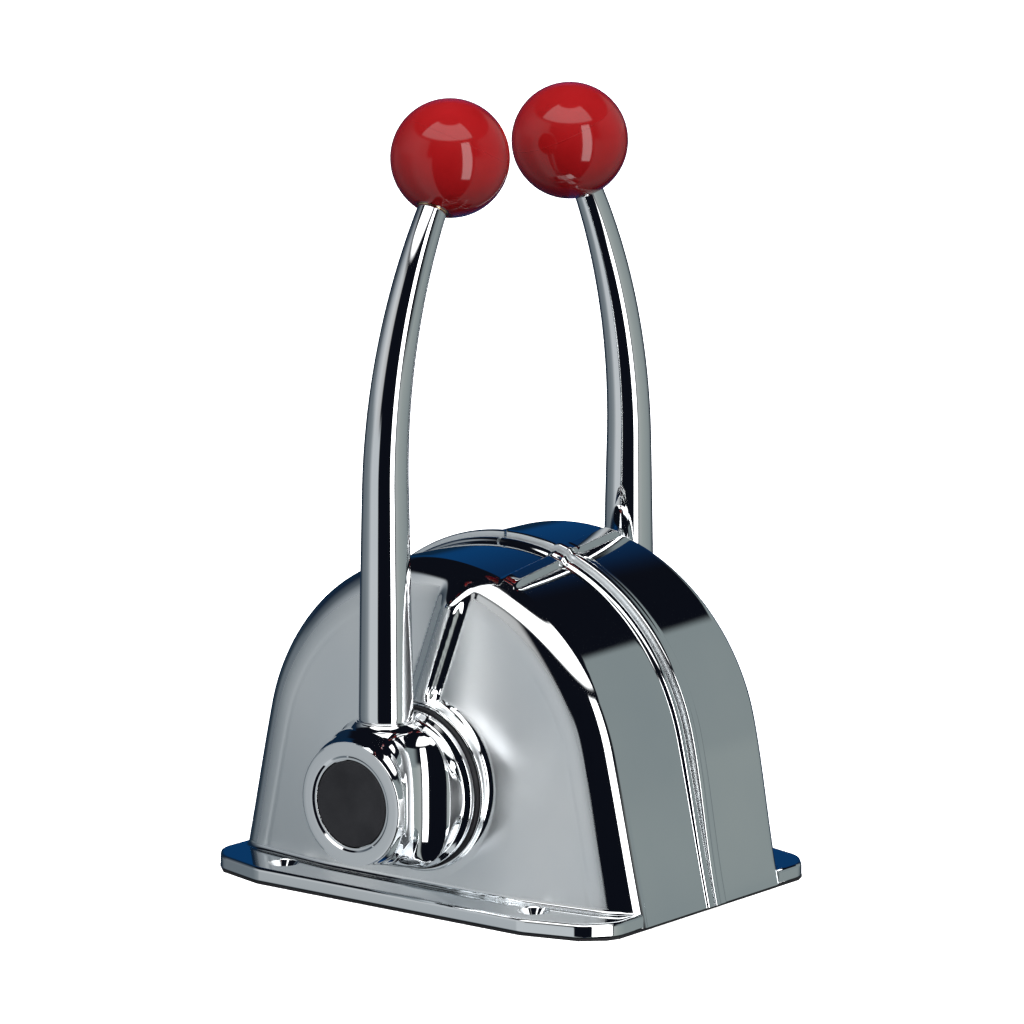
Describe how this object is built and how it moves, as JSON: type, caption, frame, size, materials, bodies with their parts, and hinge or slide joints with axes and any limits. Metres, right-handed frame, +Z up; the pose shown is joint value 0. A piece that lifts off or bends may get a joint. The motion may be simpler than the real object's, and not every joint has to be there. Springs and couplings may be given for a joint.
{
  "type": "twin lever engine control head",
  "caption": "Top-mounted control head with a domed chrome housing and a curved ball-knob lever on each side, each swinging about one cross axis to pull a cable.",
  "frame": {"origin": "centre of the underside of the base gasket, on the seam between the housing halves", "axes": "+X along the lever shafts towards the right lever, -Y towards the operator, +Z up"},
  "size_m": [0.2076, 0.2122, 0.3246],
  "materials": {
    "chrome_casting": "bright polished plate on a die casting",
    "chrome_lever": "bright polished plate",
    "red_knob": "gloss moulded red",
    "black_cap": "fine matte black",
    "rubber": "matte black",
    "brass": "machined",
    "steel": "turned stainless",
    "zinc_plate": "zinc-plated",
    "brake_lining": "moulded friction lining"
  },
  "bodies": {
    "housing": {"base_gasket": "rubber", "seam_bolt_top": "steel", "seam_bolt_front": "steel", "seam_bolt_rear": "steel", "seam_nut_top": "zinc_plate", "seam_nut_front": "zinc_plate", "seam_nut_rear": "zinc_plate", "left_housing": "chrome_casting", "left_hub_seal": "rubber", "left_shaft_bushing": "brass", "left_brake_shoe": "brake_lining", "left_brake_screw": "steel", "left_cable_anchor": "zinc_plate", "left_anchor_screw_front": "steel", "left_anchor_screw_rear": "steel", "right_housing": "chrome_casting", "right_hub_seal": "rubber", "right_shaft_bushing": "brass", "right_brake_shoe": "brake_lining", "right_brake_screw": "steel", "right_cable_anchor": "zinc_plate", "right_anchor_screw_front": "steel", "right_anchor_screw_rear": "steel"},
    "left_lever_body": {"left_lever": "chrome_lever", "left_knob": "red_knob", "left_knob_insert": "brass", "left_hub_cap": "black_cap", "left_hub_screw": "steel", "left_hub_washer": "zinc_plate", "left_lever_shaft": "steel", "left_drive_arm": "zinc_plate", "left_arm_screw": "steel"},
    "left_pivot_body": {"left_cable_pivot": "brass", "left_pivot_clip": "steel"},
    "right_lever_body": {"right_lever": "chrome_lever", "right_knob": "red_knob", "right_knob_insert": "brass", "right_hub_cap": "black_cap", "right_hub_screw": "steel", "right_hub_washer": "zinc_plate", "right_lever_shaft": "steel", "right_drive_arm": "zinc_plate", "right_arm_screw": "steel"},
    "right_pivot_body": {"right_cable_pivot": "brass", "right_pivot_clip": "steel"}
  },
  "joints": [
    {"name": "left_lever_hinge", "type": "hinge", "parent": "housing", "child": "left_lever_body", "pos_m": [0, 0, 0.0475], "axis": [1, 0, 0], "range_deg": [-75, 75]},
    {"name": "left_pivot_swivel", "type": "hinge", "parent": "left_lever_body", "child": "left_pivot_body", "pos_m": [0, 0.036, 0.0475], "axis": [1, 0, 0], "range_deg": [-75, 75]},
    {"name": "right_lever_hinge", "type": "hinge", "parent": "housing", "child": "right_lever_body", "pos_m": [0, 0, 0.0475], "axis": [1, 0, 0], "range_deg": [-75, 75]},
    {"name": "right_pivot_swivel", "type": "hinge", "parent": "right_lever_body", "child": "right_pivot_body", "pos_m": [0, 0.036, 0.0475], "axis": [1, 0, 0], "range_deg": [-75, 75]}
  ],
  "couplings": [
    {"joint": "left_pivot_swivel", "follows": "left_lever_hinge", "ratio": -1},
    {"joint": "right_pivot_swivel", "follows": "right_lever_hinge", "ratio": -1}
  ]
}
